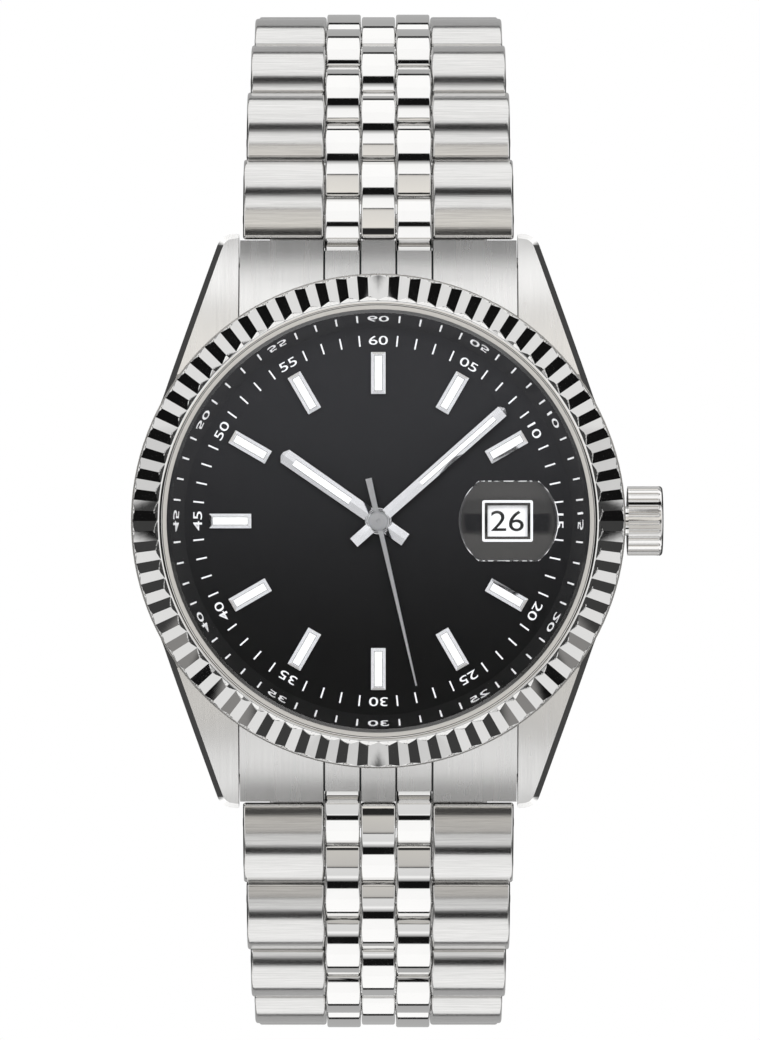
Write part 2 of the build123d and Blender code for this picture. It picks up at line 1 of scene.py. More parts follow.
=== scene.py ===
import bmesh
import bpy
import json
import math
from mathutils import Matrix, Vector

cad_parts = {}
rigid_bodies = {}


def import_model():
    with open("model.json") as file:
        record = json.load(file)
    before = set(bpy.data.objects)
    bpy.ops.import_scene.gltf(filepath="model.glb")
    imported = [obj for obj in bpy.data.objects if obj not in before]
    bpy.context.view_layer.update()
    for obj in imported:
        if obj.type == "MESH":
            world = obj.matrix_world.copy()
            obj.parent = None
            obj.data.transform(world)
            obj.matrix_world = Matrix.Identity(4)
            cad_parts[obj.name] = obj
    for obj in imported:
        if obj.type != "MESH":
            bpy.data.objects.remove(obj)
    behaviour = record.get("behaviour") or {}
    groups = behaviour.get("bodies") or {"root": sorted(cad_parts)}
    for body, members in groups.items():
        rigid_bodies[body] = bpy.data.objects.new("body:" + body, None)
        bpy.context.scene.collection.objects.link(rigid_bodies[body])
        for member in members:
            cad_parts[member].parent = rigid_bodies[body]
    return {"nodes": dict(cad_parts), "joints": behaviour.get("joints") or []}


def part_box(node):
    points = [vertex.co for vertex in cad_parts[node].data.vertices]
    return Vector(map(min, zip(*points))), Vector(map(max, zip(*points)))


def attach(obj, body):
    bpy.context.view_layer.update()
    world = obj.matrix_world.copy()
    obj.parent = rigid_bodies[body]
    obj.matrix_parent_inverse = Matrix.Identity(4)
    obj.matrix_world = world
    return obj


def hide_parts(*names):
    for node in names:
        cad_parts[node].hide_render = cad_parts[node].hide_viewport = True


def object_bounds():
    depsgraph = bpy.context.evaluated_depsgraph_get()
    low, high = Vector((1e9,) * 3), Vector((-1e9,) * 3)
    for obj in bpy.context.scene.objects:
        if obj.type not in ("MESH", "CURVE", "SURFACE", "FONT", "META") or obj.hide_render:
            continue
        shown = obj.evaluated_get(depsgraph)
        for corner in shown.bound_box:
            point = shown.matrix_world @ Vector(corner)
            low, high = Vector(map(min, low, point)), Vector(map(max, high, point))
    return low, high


# Looks of a steel wristwatch. All sizes below are in millimetres and turned into metres
# when a mesh is made; places come from the frame's boxes and joints.

for leftover in list(bpy.data.objects):
    bpy.data.objects.remove(leftover)
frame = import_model()
cad_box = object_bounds()
MM = 0.001
joints = {joint["name"]: joint for joint in frame["joints"]}


def box_mm(name):
    low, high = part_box(name)
    return low / MM, high / MM


# ---------------------------------------------------------------- node helpers


class Tree:
    """A node tree with short ways to add and join nodes."""

    def __init__(self, tree, keep=False):
        self.tree = tree
        if not keep:
            tree.nodes.clear()

    def add(self, kind, **settings):
        made = self.tree.nodes.new(kind)
        for key, value in settings.items():
            setattr(made, key, value)
        return made

    def link(self, source, target):
        self.tree.links.new(source, target)

    def math(self, operation, first, second=None):
        made = self.add("ShaderNodeMath", operation=operation)
        for slot, value in ((0, first), (1, second)):
            if value is None:
                continue
            if isinstance(value, (int, float)):
                made.inputs[slot].default_value = value
            else:
                self.link(value, made.inputs[slot])
        return made.outputs[0]

    def ramp(self, value, stops):
        made = self.add("ShaderNodeValToRGB")
        elements = made.color_ramp.elements
        while len(elements) > 1:
            elements.remove(elements[-1])
        for index, (place, color) in enumerate(stops):
            element = elements[0] if index == 0 else elements.new(place)
            element.position = place
            if isinstance(color, (int, float)):
                color = (color, color, color)
            element.color = (color[0], color[1], color[2], 1)
        self.link(value, made.inputs[0])
        return made.outputs[0]

    def map_range(self, value, low, high, to_low, to_high, smooth=False):
        made = self.add("ShaderNodeMapRange")
        if smooth:
            made.interpolation_type = "SMOOTHSTEP"
        self.link(value, made.inputs["Value"])
        for name, number in (("From Min", low), ("From Max", high),
                             ("To Min", to_low), ("To Max", to_high)):
            made.inputs[name].default_value = number
        return made.outputs[0]

    def mix(self, factor, first, second):
        made = self.add("ShaderNodeMix", data_type="RGBA")
        if isinstance(factor, (int, float)):
            made.inputs[0].default_value = factor
        else:
            self.link(factor, made.inputs[0])
        for slot, value in ((6, first), (7, second)):
            if isinstance(value, tuple):
                made.inputs[slot].default_value = (value[0], value[1], value[2], 1)
            else:
                self.link(value, made.inputs[slot])
        return made.outputs[2]

    def noise(self, stretch, detail=3.0, roughness=0.6):
        """Noise whose grain is 1/stretch metres long along each axis."""
        place = self.add("ShaderNodeTexCoord").outputs["Object"]
        mapping = self.add("ShaderNodeMapping")
        mapping.inputs["Scale"].default_value = stretch
        self.link(place, mapping.inputs["Vector"])
        grain = self.add("ShaderNodeTexNoise")
        grain.inputs["Scale"].default_value = 1.0
        grain.inputs["Detail"].default_value = detail
        grain.inputs["Roughness"].default_value = roughness
        self.link(mapping.outputs[0], grain.inputs["Vector"])
        return grain.outputs[0]

    def bump(self, height, strength, distance):
        made = self.add("ShaderNodeBump")
        made.inputs["Strength"].default_value = strength
        made.inputs["Distance"].default_value = distance
        self.link(height, made.inputs["Height"])
        return made.outputs[0]


def new_material(name, **sockets):
    """A material with one Principled shader whose plain numbers sit on its own sockets."""
    material = bpy.data.materials.new(name)
    material.use_nodes = True
    tree = Tree(material.node_tree)
    shader = tree.add("ShaderNodeBsdfPrincipled")
    output = tree.add("ShaderNodeOutputMaterial")
    tree.link(shader.outputs[0], output.inputs[0])
    for socket, value in sockets.items():
        shader.inputs[socket.replace("_", " ")].default_value = value
    return material, tree, shader


def brushed(name, tint, along, rough=(0.2, 0.32), turned=True, strength=0.3, anisotropy=0.75):
    """Brushed steel. along is the brushing direction's axis; fine streaks run that way."""
    material, tree, shader = new_material(name, Metallic=1.0, Anisotropic=anisotropy)
    stretch = [260.0, 260.0, 260.0]
    broad = [90.0, 90.0, 90.0]
    for axis in ("YZ" if along == "X" else "X"):
        stretch["XYZ".index(axis)] = 9000.0
        broad["XYZ".index(axis)] = 1400.0
    fine = tree.noise(stretch, 4.0, 0.7)
    wide = tree.noise(broad, 2.0, 0.5)
    tone = tree.mix(tree.map_range(fine, 0.3, 0.7, 0.0, 1.0),
                    tuple((1 - 0.4 * strength) * c for c in tint),
                    tuple((1 + 0.2 * strength) * c for c in tint))
    tree.link(tone, shader.inputs["Base Color"])
    tree.link(tree.map_range(wide, 0.3, 0.7, rough[0], rough[1]), shader.inputs["Roughness"])
    tree.link(tree.bump(fine, strength, 0.000006), shader.inputs["Normal"])
    direction = tree.add("ShaderNodeCombineXYZ")
    if turned:
        direction.inputs["XYZ".index(along)].default_value = 1.0
        shader.inputs["Anisotropic Rotation"].default_value = 0.25
    else:
        direction.inputs["X" if along != "X" else "Y"].default_value = 1.0
    tree.link(direction.outputs[0], shader.inputs["Tangent"])
    return material


def polished(name, tint, rough=0.045, scratch=0.05):
    """Mirror-polished steel with faint hairlines and slight smears."""
    material, tree, shader = new_material(name, Metallic=1.0)
    hair = tree.noise((400.0, 6000.0, 3000.0), 3.0, 0.6)
    smear = tree.noise((500.0, 500.0, 500.0), 3.0, 0.5)
    tree.link(tree.mix(smear, tuple(0.96 * c for c in tint), tint), shader.inputs["Base Color"])
    tree.link(tree.map_range(smear, 0.35, 0.75, rough * 0.7, rough * 1.5), shader.inputs["Roughness"])
    tree.link(tree.bump(hair, scratch, 0.000002), shader.inputs["Normal"])
    return material


STEEL = (0.86, 0.855, 0.845)
satin_x = brushed("satin_steel_across", (0.72, 0.715, 0.705), "X", (0.10, 0.125))
satin_y = brushed("satin_steel_along", (0.90, 0.895, 0.885), "Y", (0.26, 0.28), turned=False,
                  strength=0.1, anisotropy=0.4)
blade_steel = brushed("blade_steel_satin", (0.72, 0.72, 0.72), "Y", (0.22, 0.34), turned=False,
                      strength=0.5)
mirror_steel = polished("polished_steel_mirror", STEEL)
hand_steel = polished("polished_steel_hands", (0.9, 0.9, 0.91), 0.06, 0.03)
needle_steel = brushed("needle_steel_satin", (0.86, 0.865, 0.88), "Y", (0.5, 0.56), strength=0.1,
                       anisotropy=0.2)


def engrave(material, places, half_width):
    """Paints shade into grooves: darkens thin lines that run along Y at the given distances either side of
    the middle.
    """
    tree = Tree(material.node_tree, keep=True)
    shader = next(n for n in tree.tree.nodes if n.type == "BSDF_PRINCIPLED")
    parts = tree.add("ShaderNodeSeparateXYZ")
    tree.link(tree.add("ShaderNodeTexCoord").outputs["Object"], parts.inputs[0])
    across = tree.math("ABSOLUTE", parts.outputs["X"])
    mask = None
    for place in places:
        off = tree.math("ABSOLUTE", tree.math("SUBTRACT", across, place * MM))
        line = tree.map_range(off, half_width * MM, half_width * 0.6 * MM, 0.0, 1.0)
        mask = line if mask is None else tree.math("MAXIMUM", mask, line)
    base = shader.inputs["Base Color"].links[0].from_socket
    # painted groove shade mixed into the base colour
    tree.link(tree.mix(mask, base, (0.05, 0.05, 0.05)), shader.inputs["Base Color"])


# painted shade along the end links' grooves
engrave(satin_y, (1.29, 3.89), 0.09)


def lug_steel():
    """The case: satin with grain along Y on top, polished where a chamfer leans sideways."""
    material = brushed("case_steel", (0.93, 0.925, 0.915), "Y", (0.25, 0.28), turned=False,
                       strength=0.12, anisotropy=0.3)
    tree = Tree(material.node_tree, keep=True)
    shader = next(n for n in tree.tree.nodes if n.type == "BSDF_PRINCIPLED")
    normal = tree.add("ShaderNodeTexCoord").outputs["Normal"]
    parts = tree.add("ShaderNodeSeparateXYZ")
    tree.link(normal, parts.inputs[0])
    lean = tree.math("ABSOLUTE", parts.outputs["X"])
    up = tree.math("ABSOLUTE", parts.outputs["Z"])
    sideways = tree.map_range(lean, 0.35, 0.45, 0.0, 1.0)
    level = tree.math("MULTIPLY", tree.map_range(up, 0.4, 0.5, 0.0, 1.0),
                      tree.map_range(up, 0.9, 0.8, 0.0, 1.0))
    mask = tree.math("MULTIPLY", sideways, level)
    old = shader.inputs["Roughness"].links[0].from_socket
    smooth = tree.add("ShaderNodeMix", data_type="FLOAT")
    tree.link(mask, smooth.inputs[0])
    tree.link(old, smooth.inputs[2])
    smooth.inputs[3].default_value = 0.05
    tree.link(smooth.outputs[0], shader.inputs["Roughness"])
    return material


case_steel = lug_steel()


def turned_steel():
    """Steel with circular lathe marks round Z, for the case back."""
    material, tree, shader = new_material("turned_steel", Metallic=1.0, Anisotropic=0.6)
    place = tree.add("ShaderNodeTexCoord").outputs["Object"]
    parts = tree.add("ShaderNodeSeparateXYZ")
    tree.link(place, parts.inputs[0])
    squares = tree.math("ADD", tree.math("MULTIPLY", parts.outputs[0], parts.outputs[0]),
                        tree.math("MULTIPLY", parts.outputs[1], parts.outputs[1]))
    radius = tree.math("SQRT", squares)
    rings = tree.add("ShaderNodeTexNoise", noise_dimensions="1D")
    rings.inputs["Scale"].default_value = 9000.0
    rings.inputs["Detail"].default_value = 3.0
    tree.link(radius, rings.inputs["W"])
    tone = tree.mix(rings.outputs[0], (0.62, 0.62, 0.62), (0.78, 0.775, 0.77))
    tree.link(tone, shader.inputs["Base Color"])
    tree.link(tree.map_range(rings.outputs[0], 0.3, 0.7, 0.2, 0.34), shader.inputs["Roughness"])
    tree.link(tree.bump(rings.outputs[0], 0.35, 0.000008), shader.inputs["Normal"])
    tangent = tree.add("ShaderNodeTangent", direction_type="RADIAL", axis="Z")
    tree.link(tangent.outputs[0], shader.inputs["Tangent"])
    shader.inputs["Anisotropic Rotation"].default_value = 0.25
    return material


back_steel = turned_steel()


def crown_steel():
    """Polished steel with slight smears and fine streaks."""
    material, tree, shader = new_material("crown_steel", Metallic=1.0)
    smear = tree.noise((900.0, 900.0, 900.0), 3.0, 0.5)
    tree.link(tree.mix(smear, (0.8, 0.79, 0.78), (0.88, 0.875, 0.865)), shader.inputs["Base Color"])
    tree.link(tree.map_range(smear, 0.35, 0.75, 0.06, 0.12), shader.inputs["Roughness"])
    tree.link(tree.bump(tree.noise((300.0, 5000.0, 5000.0)), 0.06, 0.000003), shader.inputs["Normal"])
    return material


grip_steel = crown_steel()


def dial_paint():
    """Black satin with painted light and shade: grey at 12 o'clock, falling to deep black at 6."""
    material, tree, shader = new_material("dial_black_satin", Specular_IOR_Level=0.22)
    speck = tree.noise((14000.0, 14000.0, 14000.0), 2.0, 0.6)
    cloud = tree.noise((120.0, 120.0, 120.0), 2.0, 0.5)
    parts = tree.add("ShaderNodeSeparateXYZ")
    tree.link(tree.add("ShaderNodeTexCoord").outputs["Object"], parts.inputs[0])
    # painted light and shade: the paint is lit grey towards 12 o'clock and shaded deep black towards 6
    painted_light_falloff = tree.map_range(parts.outputs["Y"], -0.012, 0.012, 0.0, 1.0, smooth=True)
    dark = tree.mix(speck, (0.001, 0.001, 0.001), (0.002, 0.002, 0.002))
    grey = tree.mix(speck, (0.019, 0.019, 0.0205), (0.03, 0.03, 0.032))
    tree.link(tree.mix(painted_light_falloff, dark, grey), shader.inputs["Base Color"])
    tree.link(tree.map_range(cloud, 0.3, 0.7, 0.38, 0.46), shader.inputs["Roughness"])
    tree.link(tree.bump(speck, 0.12, 0.000004), shader.inputs["Normal"])
    return material


def matt(name, low, high, rough, grain=9000.0, strength=0.1, **more):
    material, tree, shader = new_material(name, **more)
    speck = tree.noise((grain, grain, grain), 3.0, 0.6)
    tree.link(tree.mix(speck, low, high), shader.inputs["Base Color"])
    tree.link(tree.map_range(speck, 0.3, 0.7, rough - 0.05, rough + 0.05), shader.inputs["Roughness"])
    tree.link(tree.bump(speck, strength, 0.000005), shader.inputs["Normal"])
    return material


dial_black = dial_paint()
dial_print = matt("dial_print_white", (0.82, 0.82, 0.83), (0.9, 0.9, 0.91), 0.5)
date_white = matt("date_white_paint", (0.9, 0.9, 0.9), (0.96, 0.96, 0.96), 0.55)
date_ink = matt("date_ink_black", (0.008, 0.008, 0.008), (0.016, 0.016, 0.016), 0.5)
lume_white = matt("lume_fill", (0.93, 0.94, 0.93), (1.0, 1.0, 0.99), 0.6, 16000.0, 0.25)
gasket_clear = matt("gasket_translucent", (0.29, 0.28, 0.265), (0.33, 0.32, 0.30), 0.35, 5000.0, 0.08)
gasket_black = matt("gasket_rubber", (0.012, 0.012, 0.012), (0.022, 0.022, 0.022), 0.7, 7000.0, 0.3)


def brass():
    material, tree, shader = new_material("movement_brass_striped", Metallic=1.0)
    place = tree.add("ShaderNodeTexCoord").outputs["Object"]
    wave = tree.add("ShaderNodeTexWave", wave_type="BANDS", bands_direction="DIAGONAL")
    wave.inputs["Scale"].default_value = 180.0
    tree.link(place, wave.inputs["Vector"])
    tone = tree.mix(wave.outputs["Fac"], (0.66, 0.5, 0.27), (0.76, 0.6, 0.35))
    tree.link(tone, shader.inputs["Base Color"])
    tree.link(tree.map_range(wave.outputs["Fac"], 0, 1, 0.22, 0.36), shader.inputs["Roughness"])
    tree.link(tree.bump(tree.noise((600.0, 9000.0, 9000.0)), 0.2, 0.000004), shader.inputs["Normal"])
    return material


movement_brass = brass()


def clear_glass(name, tint):
    """Clear sapphire; light reaches what lies under it through the shadow-ray branch."""
    material = bpy.data.materials.new(name)
    material.use_nodes = True
    tree = Tree(material.node_tree)
    shader = tree.add("ShaderNodeBsdfPrincipled")
    shader.inputs["Base Color"].default_value = (tint[0], tint[1], tint[2], 1)
    shader.inputs["Transmission Weight"].default_value = 1.0
    shader.inputs["IOR"].default_value = 1.54
    smear = tree.noise((260.0, 260.0, 260.0), 2.0, 0.5)
    tree.link(tree.map_range(smear, 0.3, 0.8, 0.0, 0.006), shader.inputs["Roughness"])
    clear = tree.add("ShaderNodeBsdfTransparent")
    clear.inputs[0].default_value = (tint[0], tint[1], tint[2], 1)
    shadow = tree.add("ShaderNodeLightPath").outputs["Is Shadow Ray"]
    both = tree.add("ShaderNodeMixShader")
    tree.link(shadow, both.inputs[0])
    tree.link(shader.outputs[0], both.inputs[1])
    tree.link(clear.outputs[0], both.inputs[2])
    output = tree.add("ShaderNodeOutputMaterial")
    tree.link(both.outputs[0], output.inputs[0])
    return material


glass = clear_glass("crystal_glass_clear", (0.985, 0.99, 1.0))


def dress(name, *materials):
    """Gives a carried-over CAD node its materials."""
    slots = frame["nodes"][name].data.materials
    slots.clear()
    for material in materials:
        slots.append(material)


for name, material in (
    ("case_middle", case_steel), ("end_link_12", satin_y), ("end_link_6", satin_y),
    ("crystal_gasket", gasket_clear), ("flange_ring", mirror_steel),
    ("dial", dial_black), ("date_disc", date_white), ("movement", movement_brass),
    ("battery", back_steel), ("case_back", back_steel), ("case_back_gasket", gasket_black),
    ("crown_tube", mirror_steel), ("crown", grip_steel), ("winding_stem", blade_steel),
    ("setting_lever", blade_steel), ("spring_bars", blade_steel),
    ("clasp_base_blade", blade_steel), ("clasp_middle_blade", blade_steel),
    ("clasp_cover", satin_x), ("clasp_button_right", mirror_steel), ("clasp_button_left", mirror_steel),
):
    dress(name, material)


# ---------------------------------------------------------------- mesh helpers


class Shape:
    """Collects vertices in millimetres and faces, then becomes one piece."""

    def __init__(self):
        self.points = []
        self.faces = []
        self.smooth = []

    def add(self, points, faces, smooth=True):
        start = len(self.points)
        self.points += [tuple(p) for p in points]
        for face in faces:
            self.faces.append([start + i for i in face])
            self.smooth.append(smooth)

    def rings(self, rings, smooth=True, closed=True, caps=True, cap_smooth=False):
        """Joins rings of equal length with quads, and closes the two ends."""
        count = len(rings[0])
        points = [p for ring in rings for p in ring]
        faces = []
        for a in range(len(rings) - 1):
            for b in range(count if closed else count - 1):
                c = (b + 1) % count
                faces.append([a * count + b, a * count + c, (a + 1) * count + c, (a + 1) * count + b])
        self.add(points, faces, smooth)
        if caps:
            self.add(rings[0], [list(range(count))[::-1]], cap_smooth)
            self.add(rings[-1], [list(range(count))], cap_smooth)

    def piece(self, name, body, materials, replaces=(), weld=True, weighted=False):
        mesh = bpy.data.meshes.new(name)
        mesh.from_pydata([(x * MM, y * MM, z * MM) for x, y, z in self.points], [], self.faces)
        for polygon, smooth in zip(mesh.polygons, self.smooth):
            polygon.use_smooth = smooth
        for material in materials:
            mesh.materials.append(material)
        tidy = bmesh.new()
        tidy.from_mesh(mesh)
        if weld:
            bmesh.ops.remove_doubles(tidy, verts=tidy.verts, dist=0.000001)
        bmesh.ops.recalc_face_normals(tidy, faces=tidy.faces)
        tidy.to_mesh(mesh)
        tidy.free()
        thing = bpy.data.objects.new(name, mesh)
        bpy.context.scene.collection.objects.link(thing)
        if weighted:
            modifier = thing.modifiers.new("normals", "WEIGHTED_NORMAL")
            modifier.weight = 80
            modifier.keep_sharp = True
        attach(thing, body)
        if replaces:
            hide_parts(*replaces)
        return thing


def round_ring(radius, height, total=192):
    """A circle of points round Z."""
    return [(radius * math.cos(a), radius * math.sin(a), height)
            for a in [2 * math.pi * i / total for i in range(total)]]


def rounded(corners, steps=5):
    """A closed outline from (a, b, radius) corners, each rounded by its radius."""
    outline = []
    count = len(corners)
    for i in range(count):
        a, b, radius = corners[i]
        if radius <= 0:
            outline.append((a, b))
            continue
        before = Vector(corners[i - 1][:2]) - Vector((a, b))
        after = Vector(corners[(i + 1) % count][:2]) - Vector((a, b))
        half = before.angle(after) / 2
        reach = min(radius / math.tan(half), before.length * 0.5, after.length * 0.5)
        radius = reach * math.tan(half)
        before.normalize()
        after.normalize()
        middle = Vector((a, b)) + (before + after).normalized() * (radius / math.sin(half))
        start = (Vector((a, b)) + before * reach) - middle
        end = (Vector((a, b)) + after * reach) - middle
        sweep = start.angle(end)
        for step in range(steps + 1):
            t = step / steps
            mixed = start * math.sin((1 - t) * sweep) + end * math.sin(t * sweep)
            outline.append(tuple(middle + mixed.normalized() * radius))
    return outline


def inset(outline, distance):
    """Moves a closed outline inward by a distance."""
    area = sum(a[0] * b[1] - b[0] * a[1] for a, b in zip(outline, outline[1:] + outline[:1]))
    sign = 1 if area > 0 else -1
    moved = []
    for i, point in enumerate(outline):
        before = Vector(point) - Vector(outline[i - 1])
        after = Vector(outline[(i + 1) % len(outline)]) - Vector(point)
        if before.length < 1e-9:
            before = after
        if after.length < 1e-9:
            after = before
        along = before.normalized() + after.normalized()
        along.normalize()
        moved.append((point[0] - sign * along[1] * distance, point[1] + sign * along[0] * distance))
    return moved


# ---------------------------------------------------------------- bracelet rows

row_top, row_end, row_low = 1.4, 3.42, -1.2
half_spacing = 1.75
knuckle_radius = 0.8


def dome(start, end, top, shoulder, count=22):
    """Points of an arc over a row, from (start, shoulder) over the top to (end, shoulder)."""
    half = (end - start) / 2
    rise = top - shoulder
    radius = (half * half + rise * rise) / (2 * rise)
    reach = math.asin(half / radius)
    points = []
    for i in range(count + 1):
        t = -reach + 2 * reach * i / count
        points.append(((start + end) / 2 + radius * math.sin(t), top - radius + radius * math.cos(t), 0))
    return points


def row_outline(first_bead):
    """The side outline of a link; the first bead row starts later, over a knuckle on the spring bar."""
    if first_bead:
        arc = [(-0.65, 1.0, 0.1), (-0.4, 1.3, 0.12)]
        arc += [p for p in dome(-row_end, row_end, row_top, 0.25) if p[0] > 0.0][:-1]
        tail = [(-0.65, row_low, 0.1), (-0.9, -knuckle_radius, 0.1), (-half_spacing, -knuckle_radius, 0)]
        knuckle = [(-half_spacing + knuckle_radius * math.cos(a), knuckle_radius * math.sin(a), 0)
                   for a in [math.radians(270 - 18 * i) for i in range(1, 10)]]
        arc = arc + [(row_end, 0.25, 0.22), (row_end, -0.1, 0.2), (row_end - 0.8, row_low, 0.15)]
        return rounded(arc + tail + knuckle + [(-half_spacing, 0.7, 0), (-0.65, 0.7, 0.08)])
    arc = dome(-row_end, row_end, row_top, 0.25)[1:-1]
    return rounded([(-row_end, 0.25, 0.22)] + arc + [
        (row_end, 0.25, 0.22), (row_end, -0.1, 0.2), (row_end - 0.8, row_low, 0.15),
        (-row_end + 0.8, row_low, 0.15), (-row_end, -0.1, 0.2)])


def link_rings(outline, x0, x1, edge, place):
    """Rings across one link between x0 and x1, its side edges rounded by edge."""
    rings = []
    steps = 4
    for i in range(steps + 1):
        t = math.pi / 2 * i / steps
        ring = inset(outline, edge * (1 - math.sin(t)))
        rings.append([place(x0 + edge * (1 - math.cos(t)), u, w) for u, w in ring])
    for i in range(steps, -1, -1):
        t = math.pi / 2 * i / steps
        ring = inset(outline, edge * (1 - math.sin(t)))
        rings.append([place(x1 - edge * (1 - math.cos(t)), u, w) for u, w in ring])
    return rings


def row_pins(shape, half_width, place):
    """The two pins of an outer row, with rounded ends that sit just proud of the links."""
    for u0 in (-half_spacing, half_spacing):
        rings = []
        for x, radius in ((-half_width, 0.30), (-half_width + 0.02, 0.36), (-half_width + 0.1, 0.4),
                          (half_width - 0.1, 0.4), (half_width - 0.02, 0.36), (half_width, 0.30)):
            rings.append([place(x, u0 + radius * math.cos(a), radius * math.sin(a))
                          for a in [2 * math.pi * i / 28 for i in range(28)]])
        shape.rings(rings)


outer_outline = row_outline(False)
first_outline = row_outline(True)

for side, end_name in ((1, "12"), (-1, "6")):
    pivots = []
    for number in range(1, 9):
        for kind in ("bead", "outer"):
            joint = joints[f"{kind}_row_{end_name}_{number}_hinge"]
            pivots.append(Vector(joint["pos_m"]) / MM)
    last = Vector(joints["clasp_end_hinge"]["pos_m"]) / MM
    pivots.append(Vector((0, side * abs(last.y), last.z)))
    for index in range(16):
        start, end = pivots[index], pivots[index + 1]
        along = (end - start).normalized()
        out = Vector((0, -side * along.z, side * along.y))
        middle = (start + end) / 2

        def place(x, u, w):
            point = middle + along * u + out * w
            return (x, point.y, point.z)

        number = index // 2 + 1
        if index % 2 == 0:
            node_name = f"bead_row_{end_name}_{number}"
            outline = first_outline if index == 0 else outer_outline
            beads = Shape()
            for column in (-1, 1):
                low, high = sorted((column * 1.33, column * 3.85))
                beads.rings(link_rings(outline, low, high, 0.14, place), True, True, True, False)
            beads.piece(f"{node_name}_beads", node_name, [mirror_steel], [node_name],
                        weighted=True)
        else:
            node_name = f"outer_row_{end_name}_{number}"
            half_width = box_mm(node_name)[1].x
            centre = Shape()
            centre.rings(link_rings(outer_outline, -1.25, 1.25, 0.14, place), True, True, True, False)
            centre.piece(f"{node_name}_centre_bead", node_name, [mirror_steel], [node_name],
                         weighted=True)
            links = Shape()
            links.rings(link_rings(outer_outline, 3.93, half_width, 0.2, place), True, True, True, False)
            links.rings(link_rings(outer_outline, -half_width, -3.93, 0.2, place), True, True, True, False)
            links.piece(f"{node_name}_links", node_name, [satin_x], [node_name], weighted=True)
            pins = Shape()
            row_pins(pins, half_width + 0.03, place)
            pins.piece(f"{node_name}_pins", node_name, [blade_steel], [node_name])

# ---------------------------------------------------------------- bezel

flutes = 72
per_flute = 16
bezel_low, bezel_high = box_mm("bezel")
outer_radius = bezel_high.x
top_z = bezel_high.z
cone_start = Vector((17.54, 7.393))
cone_end = Vector((15.75, 8.12))
cone_length = (cone_end - cone_start).length
cone_normal = Vector((cone_end.y - cone_start.y, cone_start.x - cone_end.x)) / cone_length
flute_depth = 0.32


def bezel_ring(radius, height):
    return round_ring(radius, height, flutes * per_flute)


def flute_ring(share):
    """A ring up the fluted cone; share runs from 0 at the outer edge to 1 at the inner ring."""
    ring = []
    base = cone_start.lerp(cone_end, share)
    left = (1 - share) * cone_length
    total = flutes * per_flute
    for i in range(total):
        t = (i % per_flute) / per_flute
        valley = 1 - abs(2 * t - 1)
        depth = flute_depth * valley
        end_wall = 0.78 * left
        depth = min(depth, end_wall)
        radius = base.x - cone_normal.x * depth
        height = base.y - cone_normal.y * depth
        a = 2 * math.pi * i / total
        ring.append((radius * math.cos(a), radius * math.sin(a), height))
    return ring


bezel = Shape()
wall = [bezel_ring(outer_radius, bezel_low.z), bezel_ring(outer_radius, 6.9), bezel_ring(outer_radius, 7.08),
        bezel_ring(outer_radius - 0.03, 7.12), bezel_ring(outer_radius - 0.1, 7.13)]
bezel.rings(wall, True, True, False)
flute_rings = [flute_ring(s) for s in (0, 0.3, 0.6, 0.66, 0.7, 0.73, 0.76, 0.79, 0.82, 0.85, 0.88, 0.91, 0.94,
                                       0.97, 1.0)]
bezel.rings([wall[-1], flute_rings[0]], False, True, False)
bezel.rings(flute_rings, False, True, False)
inner = [flute_rings[-1], bezel_ring(15.68, 8.165), bezel_ring(15.6, top_z - 0.008), bezel_ring(15.5, top_z),
         bezel_ring(15.44, top_z - 0.008), bezel_ring(15.4, top_z - 0.05), bezel_ring(15.4, 7.02)]
bezel.rings(inner, True, True, False)
bezel.rings([inner[-1], bezel_ring(16.22, 7.02), bezel_ring(16.22, bezel_low.z), wall[0]], False, True, False)
bezel.piece("bezel_fluted", "case", [mirror_steel], ["bezel"])

# ---------------------------------------------------------------- date lens

lens_low, lens_high = box_mm("date_lens")
lens_x = (lens_low.x + lens_high.x) / 2
lens_half = (lens_high.y - lens_low.y) / 2
lens_radius = (lens_high.x - lens_low.x) / 2
dome_radius = 12.0
dome_centre_z = lens_high.z - dome_radius
lens = Shape()
spokes = 128


def lens_ring(share, height=None, shrink=0.0):
    """A ring of the lens's plan, scaled by share and shrunk; on the dome unless a height is given."""
    ring = []
    for i in range(spokes):
        a = 2 * math.pi * i / spokes
        reach = lens_radius - shrink
        if abs(math.sin(a)) > 1e-6:
            reach = min(reach, (lens_half - shrink) / abs(math.sin(a)))
        x, y = share * reach * math.cos(a), share * reach * math.sin(a)
        z = dome_centre_z + math.sqrt(dome_radius ** 2 - x * x - y * y) if height is None else height
        ring.append((lens_x + x, y, z))
    return ring


rim_height = 0.05
dome_rings = [lens_ring(i / 26, None, rim_height) for i in range(1, 27)]
rim = [(x, y, z - rim_height) for x, y, z in lens_ring(1.0)]
glass_low, glass_high = box_mm("crystal")
glass_top = glass_high.z
foot = lens_ring(1.0, glass_top)
lens.rings(dome_rings, True, True, False)
lens.add([(lens_x, 0, lens_high.z)] + dome_rings[0],
         [[0, 1 + i, 1 + (i + 1) % spokes] for i in range(spokes)], True)
lens.rings([dome_rings[-1], rim], False, True, False)
lens.rings([rim, foot], False, True, False)


# the crystal's flat top is filled between its bevel and the foot of the lens
top_edge = round_ring(glass_high.x - 0.26, glass_top)
filler = bmesh.new()
for loop in (top_edge, foot):
    corners = [filler.verts.new(point) for point in loop]
    for a, b in zip(corners, corners[1:] + corners[:1]):
        filler.edges.new((a, b))
bmesh.ops.triangle_fill(filler, use_beauty=True, use_dissolve=False, edges=filler.edges[:])
filler.verts.index_update()
lens.add([tuple(v.co) for v in filler.verts],
         [[v.index for v in face.verts] for face in filler.faces], False)
filler.free()
bevel_foot = round_ring(glass_high.x, glass_top - 0.26)
lens.rings([top_edge, bevel_foot], False, True, False)
lens.rings([bevel_foot, round_ring(glass_high.x, glass_low.z)], False, True, False)
lens.add(round_ring(glass_high.x, glass_low.z), [list(range(192))], False)
lens.piece("crystal_with_date_lens", "case", [glass], ["crystal", "date_lens"])

